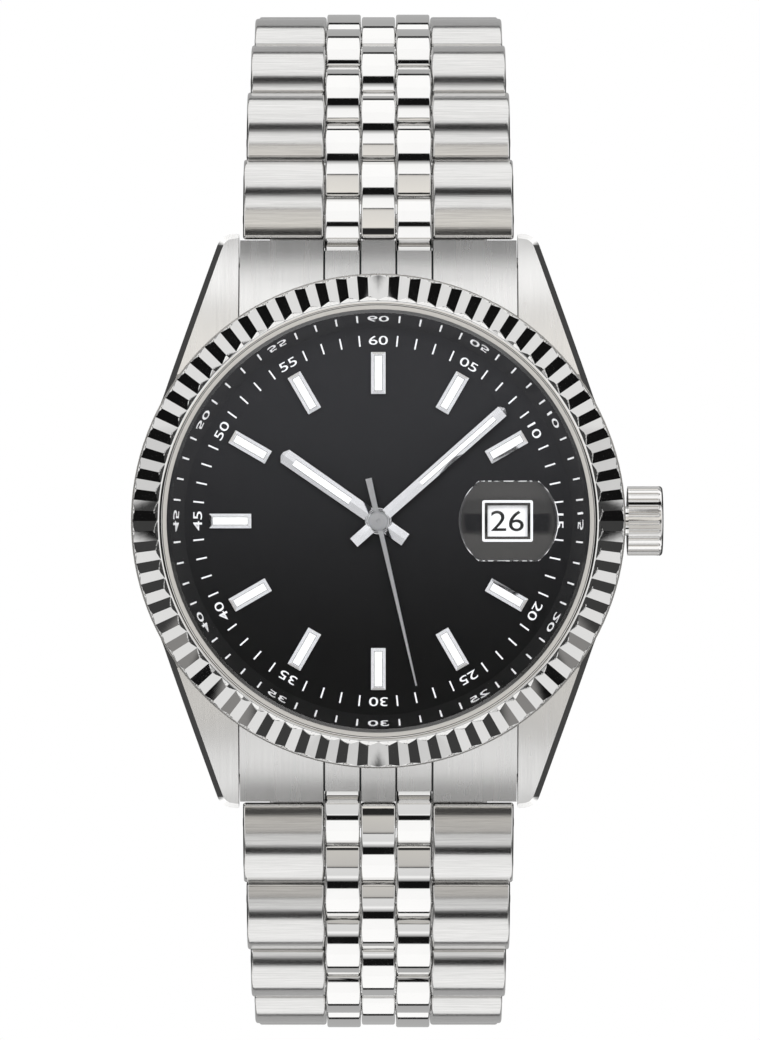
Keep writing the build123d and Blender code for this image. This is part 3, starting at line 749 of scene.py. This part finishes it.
# ---------------------------------------------------------------- dial print

dial_top = box_mm("dial")[1].z


def clock_point(degrees, radius, across=0.0):
    """A point of the dial: degrees clockwise from 12 o'clock, across to the right of that line."""
    a = math.radians(degrees)
    return (radius * math.sin(a) + across * math.cos(a), radius * math.cos(a) - across * math.sin(a))


def slab(shape, outline, low, high):
    """A thin flat solid with the given plan outline."""
    shape.rings([[(x, y, low) for x, y in outline], [(x, y, high) for x, y in outline]],
                False)


track_inner, track_outer, stroke_half = 12.56, 13.33, 0.055
figure_radius = 12.95
track = Shape()
for minute in range(60):
    if minute % 5 == 0:
        continue
    angle = minute * 6
    corners = [clock_point(angle, track_inner, -stroke_half), clock_point(angle, track_outer, -stroke_half),
               clock_point(angle, track_outer, stroke_half), clock_point(angle, track_inner, stroke_half)]
    slab(track, corners, dial_top - 0.005, dial_top + 0.012)
track.piece("minute_track", "case", [dial_print])


def lettering(name, text, size, widen, thickness, body, material, at, turn, height, bold=0.0):
    """Flat raised figures from the built-in font, centred at a point and turned about Z."""
    curve = bpy.data.curves.new(name, "FONT")
    curve.body = text
    curve.size = size * MM
    curve.align_x = "CENTER"
    curve.align_y = "CENTER"
    curve.extrude = thickness * MM / 2
    curve.offset = bold * MM
    curve.resolution_u = 6
    maker = bpy.data.objects.new(name + "_curve", curve)
    bpy.context.scene.collection.objects.link(maker)
    bpy.context.view_layer.update()
    mesh = bpy.data.meshes.new_from_object(maker)
    bpy.data.objects.remove(maker)
    xs = [v.co.x for v in mesh.vertices]
    ys = [v.co.y for v in mesh.vertices]
    mid_x, mid_y = (min(xs) + max(xs)) / 2, (min(ys) + max(ys)) / 2
    for vertex in mesh.vertices:
        x, y = (vertex.co.x - mid_x) * widen, vertex.co.y - mid_y
        c, s = math.cos(turn), math.sin(turn)
        vertex.co = (at[0] * MM + x * c - y * s, at[1] * MM + x * s + y * c, vertex.co.z + height * MM)
    mesh.materials.clear()
    mesh.materials.append(material)
    mesh.name = name
    thing = bpy.data.objects.new(name, mesh)
    bpy.context.scene.collection.objects.link(thing)
    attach(thing, body)
    return thing


for hour in range(12):
    angle = hour * 30
    text = "60" if hour == 0 else f"{hour * 5:02d}"
    lettering(f"minute_figure_{text}", text, 0.90, 1.62, 0.02, "case", dial_print,
              clock_point(angle, figure_radius), -math.radians(angle), dial_top + 0.004, 0.002)

window_x = 9.27
frame_half = (1.53, 1.25)
stroke = 0.15
date_frame = Shape()
outer_corners = rounded([(x * frame_half[0], y * frame_half[1], 0.12)
                         for x, y in ((-1, -1), (1, -1), (1, 1), (-1, 1))], 4)
inner_corners = rounded([(x * (frame_half[0] - stroke), y * (frame_half[1] - stroke), 0.04)
                         for x, y in ((-1, -1), (1, -1), (1, 1), (-1, 1))], 4)
count = len(outer_corners)
loops = []
for corners, height in ((outer_corners, dial_top - 0.005), (outer_corners, dial_top + 0.014),
                        (inner_corners, dial_top + 0.014), (inner_corners, dial_top - 0.005)):
    loops.append([(window_x + x, y, height) for x, y in corners])
date_frame.rings(loops + [loops[0]], False, True, False)
date_frame.piece("date_window_frame", "case", [dial_print])

disc_top = box_mm("date_disc")[1].z
for day in range(1, 32):
    turn = math.radians((day - 26) * 360 / 31)
    lettering(f"date_figure_{day:02d}", str(day), 1.72, 1.2, 0.02, "date_disc", date_ink,
              (window_x * math.cos(turn), window_x * math.sin(turn)), turn, disc_top + 0.004, 0.0)

# ---------------------------------------------------------------- hour markers

marker_low, marker_high = box_mm("hour_markers")
marker_radius = 10.6
frames = Shape()
fills = Shape()
for hour in range(12):
    if hour == 3:
        continue
    angle = hour * 30

    def marker_loop(half_width, half_length, height, corner):
        corners = rounded([(x * half_width, y * half_length, corner)
                           for x, y in ((-1, -1), (1, -1), (1, 1), (-1, 1))], 2)
        return [clock_point(angle, marker_radius + y, x) + (height,) for x, y in corners]

    top = marker_high.z
    frames.rings([
        marker_loop(0.52, 1.5, marker_low.z, 0.03), marker_loop(0.52, 1.5, top - 0.1, 0.03),
        marker_loop(0.30, 1.28, top, 0.02), marker_loop(0.275, 1.255, top, 0.02),
        marker_loop(0.275, 1.255, top - 0.1, 0.02)], False, True, False)
    frames.add(marker_loop(0.52, 1.5, marker_low.z, 0.03), [list(range(12))[::-1]], False)
    frames.add(marker_loop(0.275, 1.255, top - 0.1, 0.02), [list(range(12))], False)
    fills.rings([
        marker_loop(0.274, 1.254, top - 0.1, 0.02), marker_loop(0.274, 1.254, top - 0.035, 0.02),
        marker_loop(0.24, 1.22, top - 0.01, 0.02)], False, True, True, True)
frames.piece("hour_marker_frames", "case", [hand_steel], ["hour_markers"])
fills.piece("hour_marker_fills", "case", [lume_white])

# ---------------------------------------------------------------- hands

hub_points = 64
hour_angle, minute_angle, second_angle = 304.8, 48.5, 167

def baton_hand(name, body, degrees, low, high, half_width, tip, tail, hub, bore, lume, lume_half):
    """A roof-shaped hand with a luminous strip, on a hub with a round bore."""
    edge = low + 0.06

    def section(y, half, kind):
        def at(x, z):
            return clock_point(degrees, y, x) + (z,)
        slope = (high - edge) / half_width
        ridge = edge + slope * half
        if kind == "roof":
            return [at(-half, low), at(-half, edge), at(0, ridge), at(half, edge), at(half, low)]
        inner_z = edge + slope * (half - lume_half)
        sign = -1 if kind == "left" else 1
        return [at(sign * half, low), at(sign * half, edge), at(sign * lume_half, inner_z),
                at(sign * (lume_half - 0.03), inner_z), at(sign * (lume_half - 0.03), low)]

    steel = Shape()
    tail_half = half_width * 0.9
    narrow = half_width - (half_width - tail_half) * 0.6
    steel.rings([section(-tail, tail_half, "roof"), section(lume[0], narrow, "roof")], False)
    for kind in ("left", "right"):
        steel.rings([section(lume[0], narrow, kind), section(lume[1], half_width, kind)], False)
    steel.rings([section(lume[1], half_width, "roof"), section(tip - 0.26, half_width, "roof"),
                 section(tip, half_width * 0.3, "roof")], False)
    profile = [(bore, low), (hub - 0.04, low), (hub, low + 0.04), (hub, edge + 0.05),
               (hub - 0.05, high - 0.09), (hub - 0.2, high - 0.02), (hub - 0.35, high), (bore, high)]
    loops = [round_ring(r, z, hub_points) for r, z in profile]
    steel.rings(loops + [loops[0]], True, True, False)
    steel.piece(name + "_steel", body, [hand_steel], [name], weld=False)
    strip = Shape()
    slope = (high - edge) / half_width
    strip_top = edge + slope * (narrow - lume_half) + 0.012

    def lume_loop(shrink, z):
        half = lume_half - 0.03 - shrink
        ends = (lume[0] + shrink, lume[1] - shrink)
        return [clock_point(degrees, ends[0], -half) + (z,), clock_point(degrees, ends[0], half) + (z,),
                clock_point(degrees, ends[1], half) + (z,), clock_point(degrees, ends[1], -half) + (z,)]

    strip.rings([lume_loop(0, low + 0.02), lume_loop(0, strip_top - 0.02), lume_loop(0.02, strip_top)], False)
    strip.piece(name + "_lume", body, [lume_white])


hour_top = box_mm("hour_hand")[1].z
minute_top = box_mm("minute_hand")[1].z
second_top = box_mm("second_hand")[1].z
baton_hand("hour_hand", "hour_hand", hour_angle, hour_top - 0.28, hour_top, 0.55,
           tip=8.4, tail=2.36, hub=0.98, bore=0.37, lume=(2.45, 7.35), lume_half=0.27)
baton_hand("minute_hand", "minute_hand", minute_angle, minute_top - 0.26, minute_top, 0.44,
           tip=12.1, tail=2.34, hub=0.84, bore=0.17, lume=(4.06, 11.1), lume_half=0.2)

needle = Shape()
second_bottom = second_top - 0.26
second_face = second_top - 0.14


def needle_section(y, half, top):
    rim_z = top - 0.035
    outline = [(-half, second_bottom), (-half, rim_z), (-half * 0.7, top), (half * 0.7, top),
               (half, rim_z), (half, second_bottom)]
    return [clock_point(second_angle, y, x) + (z,) for x, z in outline]


needle.rings([needle_section(-3.12, 0.225, second_face), needle_section(-0.5, 0.18, second_face),
              needle_section(0.5, 0.175, second_face), needle_section(12.08, 0.06, second_face)], False)
hub_profile = [(0.0, second_bottom), (0.7, second_bottom), (0.72, second_bottom + 0.03),
               (0.72, second_face), (0.68, second_face + 0.05), (0.5, second_top - 0.03),
               (0.46, second_top - 0.015), (0.26, second_top - 0.015), (0.2, second_top),
               (0.15, second_top), (0.12, second_top - 0.05), (0.0, second_top - 0.05)]
hub_loops = [round_ring(r, z, hub_points) for r, z in hub_profile]
needle.rings(hub_loops, True, True, False)
needle.piece("second_hand_steel", "second_hand", [needle_steel], ["second_hand"])

# ---------------------------------------------------------------- floor, light and camera

stage_mesh = bpy.data.meshes.new("floor")
reach = 3.0
floor_z = cad_box[0][2] - 0.0002
cells = 24
floor_points = []
floor_faces = []
for i in range(cells + 1):
    for j in range(cells + 1):
        floor_points.append((-reach + 2 * reach * i / cells, -reach + 2 * reach * j / cells, floor_z))
for i in range(cells):
    for j in range(cells):
        a = i * (cells + 1) + j
        floor_faces.append((a, a + cells + 1, a + cells + 2, a + 1))
stage_mesh.from_pydata(floor_points, [], floor_faces)
floor = bpy.data.objects.new("floor", stage_mesh)
bpy.context.scene.collection.objects.link(floor)
floor_material = bpy.data.materials.new("floor_white")
floor_material.use_nodes = True
tree = Tree(floor_material.node_tree)
place = tree.add("ShaderNodeTexCoord").outputs["Object"]
parts = tree.add("ShaderNodeSeparateXYZ")
tree.link(place, parts.inputs[0])
x_size = tree.math("ABSOLUTE", parts.outputs[0])
y_size = tree.math("ABSOLUTE", parts.outputs[1])
share = tree.math("DIVIDE", x_size, tree.math("ADD", tree.math("ADD", x_size, y_size), 0.0001))
far_tone = tree.map_range(share, 0.4, 0.52, 1.15, 0.06, smooth=True)
# the object stands on a grey mat that only its reflections show
reach_out = tree.math("SQRT", tree.math("ADD", tree.math("MULTIPLY", x_size, x_size),
                                        tree.math("MULTIPLY", y_size, y_size)))
mat_tone = tree.ramp(tree.math("MULTIPLY", reach_out, 5.0),
                     [(0.0, 0.42), (0.385, 0.4), (0.39, 0.02), (0.445, 0.02), (0.45, 1.0)])
side_tone = tree.math("MINIMUM", far_tone, tree.map_range(mat_tone, 0.0, 1.0, 0.0, 1.15))
seen = tree.add("ShaderNodeLightPath").outputs["Is Camera Ray"]
strength = tree.add("ShaderNodeMix", data_type="FLOAT")
tree.link(seen, strength.inputs[0])
tree.link(side_tone, strength.inputs[2])
strength.inputs[3].default_value = 1.0
glow = tree.add("ShaderNodeEmission")
glow.inputs[0].default_value = (1.0, 1.0, 1.0, 1)
tree.link(strength.outputs[0], glow.inputs[1])
output = tree.add("ShaderNodeOutputMaterial")
tree.link(glow.outputs[0], output.inputs[0])
stage_mesh.materials.append(floor_material)

world = bpy.data.worlds.new("studio")
bpy.context.scene.world = world
world.use_nodes = True
tree = Tree(world.node_tree)
direction = tree.add("ShaderNodeTexCoord").outputs["Generated"]
parts = tree.add("ShaderNodeSeparateXYZ")
tree.link(direction, parts.inputs[0])
height = tree.math("MINIMUM", tree.math("MAXIMUM", parts.outputs[2], -0.9999), 0.9999)
zenith = tree.math("DIVIDE", tree.math("ARCCOSINE", height), math.pi)
x_square = tree.math("MULTIPLY", parts.outputs[0], parts.outputs[0])
y_square = tree.math("MULTIPLY", parts.outputs[1], parts.outputs[1])
flat = tree.math("SQRT", tree.math("ADD", x_square, tree.math("ADD", y_square, 1e-6)))
# azimuth of the light, from 12 o'clock (0) round either side to 6 o'clock (1)
turned = tree.math("DIVIDE", tree.math("ARCCOSINE", tree.math("DIVIDE", parts.outputs[1], flat)), math.pi)
beige = (0.80, 0.775, 0.73)


def deg(value):
    """Degrees as a share of half a turn, the scale of zenith and turned."""
    return value / 180.0


over = [(deg(0), 0.015), (deg(4), 0.02), (deg(6), beige), (deg(30), (0.72, 0.70, 0.67)),
        (deg(33), (0.6, 0.58, 0.55)), (deg(33.8), 0.03), (deg(34.8), 0.03), (deg(35.5), 1.0), (deg(50), 0.95)]
towards_y = tree.ramp(zenith, over + [
    (deg(56), 0.30), (deg(57), 0.006), (deg(69), 0.006), (deg(70), 1.0), (deg(121), 1.0), (deg(121.8), 0.05),
    (deg(123), 0.45), (deg(180), 0.45)])
towards_x = tree.ramp(zenith, over + [
    (deg(55), 0.78), (deg(76), 0.74), (deg(79), 0.02), (deg(100), 0.014), (deg(118), 0.05), (deg(135), 0.3),
    (deg(180), 0.3)])
towards_low = tree.ramp(zenith, over + [
    (deg(56), 0.5), (deg(57), 0.045), (deg(71), 0.045), (deg(73), 0.9), (deg(121), 0.9), (deg(123), 0.45),
    (deg(180), 0.45)])


def turned_band(rise_from, rise_to, fall_to, fall_from):
    """1 between two soft edges of azimuth in degrees, 0 outside them."""
    rise = tree.map_range(turned, deg(rise_from), deg(rise_to), 0.0, 1.0, smooth=True)
    fall = tree.map_range(turned, deg(fall_from), deg(fall_to), 0.0, 1.0, smooth=True)
    return tree.math("MULTIPLY", rise, fall)


side_zone = turned_band(45, 49, 131, 135)
low_zone = turned_band(131, 135, 166, 172)
light = tree.mix(low_zone, tree.mix(side_zone, towards_y, towards_x), towards_low)
dimmer = tree.math("MULTIPLY", turned_band(113, 116, 131, 133),
                   tree.map_range(zenith, deg(54), deg(56), 0.0, 0.2, smooth=True))
light = tree.mix(dimmer, light, (0.12, 0.12, 0.12))
dark_side = tree.math("MULTIPLY", turned_band(36, 44, 136, 144),
                      tree.map_range(zenith, deg(75), deg(78), 0.0, 1.0, smooth=True))
light = tree.mix(dark_side, light, (0.016, 0.016, 0.017))
# greyer low down towards 6 o'clock, and a dark gap straight overhead that runs from side to side
lower = tree.math("MULTIPLY", tree.map_range(turned, deg(95), deg(130), 0.0, 1.0, smooth=True),
                  tree.map_range(zenith, deg(50), deg(46), 0.0, 0.3, smooth=True))
light = tree.mix(lower, light, (0.1, 0.1, 0.1))
gap = tree.math("MULTIPLY", tree.map_range(parts.outputs[1], -0.17, -0.1, 0.0, 1.0, smooth=True),
                tree.map_range(parts.outputs[1], 0.1, 0.07, 0.0, 1.0, smooth=True))
gap = tree.math("MULTIPLY", gap, tree.map_range(zenith, deg(33), deg(28), 0.0, 1.0, smooth=True))
light = tree.mix(gap, light, (0.02, 0.02, 0.02))
low_patch = tree.math("MULTIPLY", turned_band(163, 167, 174, 177),
                      tree.math("MULTIPLY", tree.map_range(zenith, deg(55), deg(57), 0.0, 1.0),
                                tree.map_range(zenith, deg(71), deg(69), 0.0, 1.0)))
light = tree.mix(low_patch, light, (0.24, 0.235, 0.23))
seen = tree.add("ShaderNodeLightPath").outputs["Is Camera Ray"]
final = tree.mix(seen, light, (0.94, 0.94, 0.95))
background = tree.add("ShaderNodeBackground")
background.inputs[1].default_value = 1.12
tree.link(final, background.inputs[0])
output = tree.add("ShaderNodeOutputWorld")
tree.link(background.outputs[0], output.inputs[0])

# a soft overhead panel that lights only matt surfaces, such as the print and the lume
panel_data = bpy.data.lights.new("overhead_panel", "AREA")
panel_data.shape = "SQUARE"
panel_data.size = 0.5
panel_data.energy = 5.0
panel = bpy.data.objects.new("overhead_panel", panel_data)
panel.location = (0, 0.12, 0.6)
panel.rotation_euler = (-0.2, 0, 0)
panel.visible_glossy = False
panel.visible_transmission = False
bpy.context.scene.collection.objects.link(panel)

camera_data = bpy.data.cameras.new("camera")
camera_data.sensor_width = 36
camera_data.lens = 218.07
camera_data.clip_start = 0.01
camera_data.clip_end = 20
camera = bpy.data.objects.new("camera", camera_data)
camera.location = (0.00012, 0.00007, 0.457)
bpy.context.scene.collection.objects.link(camera)
bpy.context.scene.camera = camera
bpy.context.scene.view_settings.view_transform = "Standard"
bpy.context.scene.view_settings.look = "None"
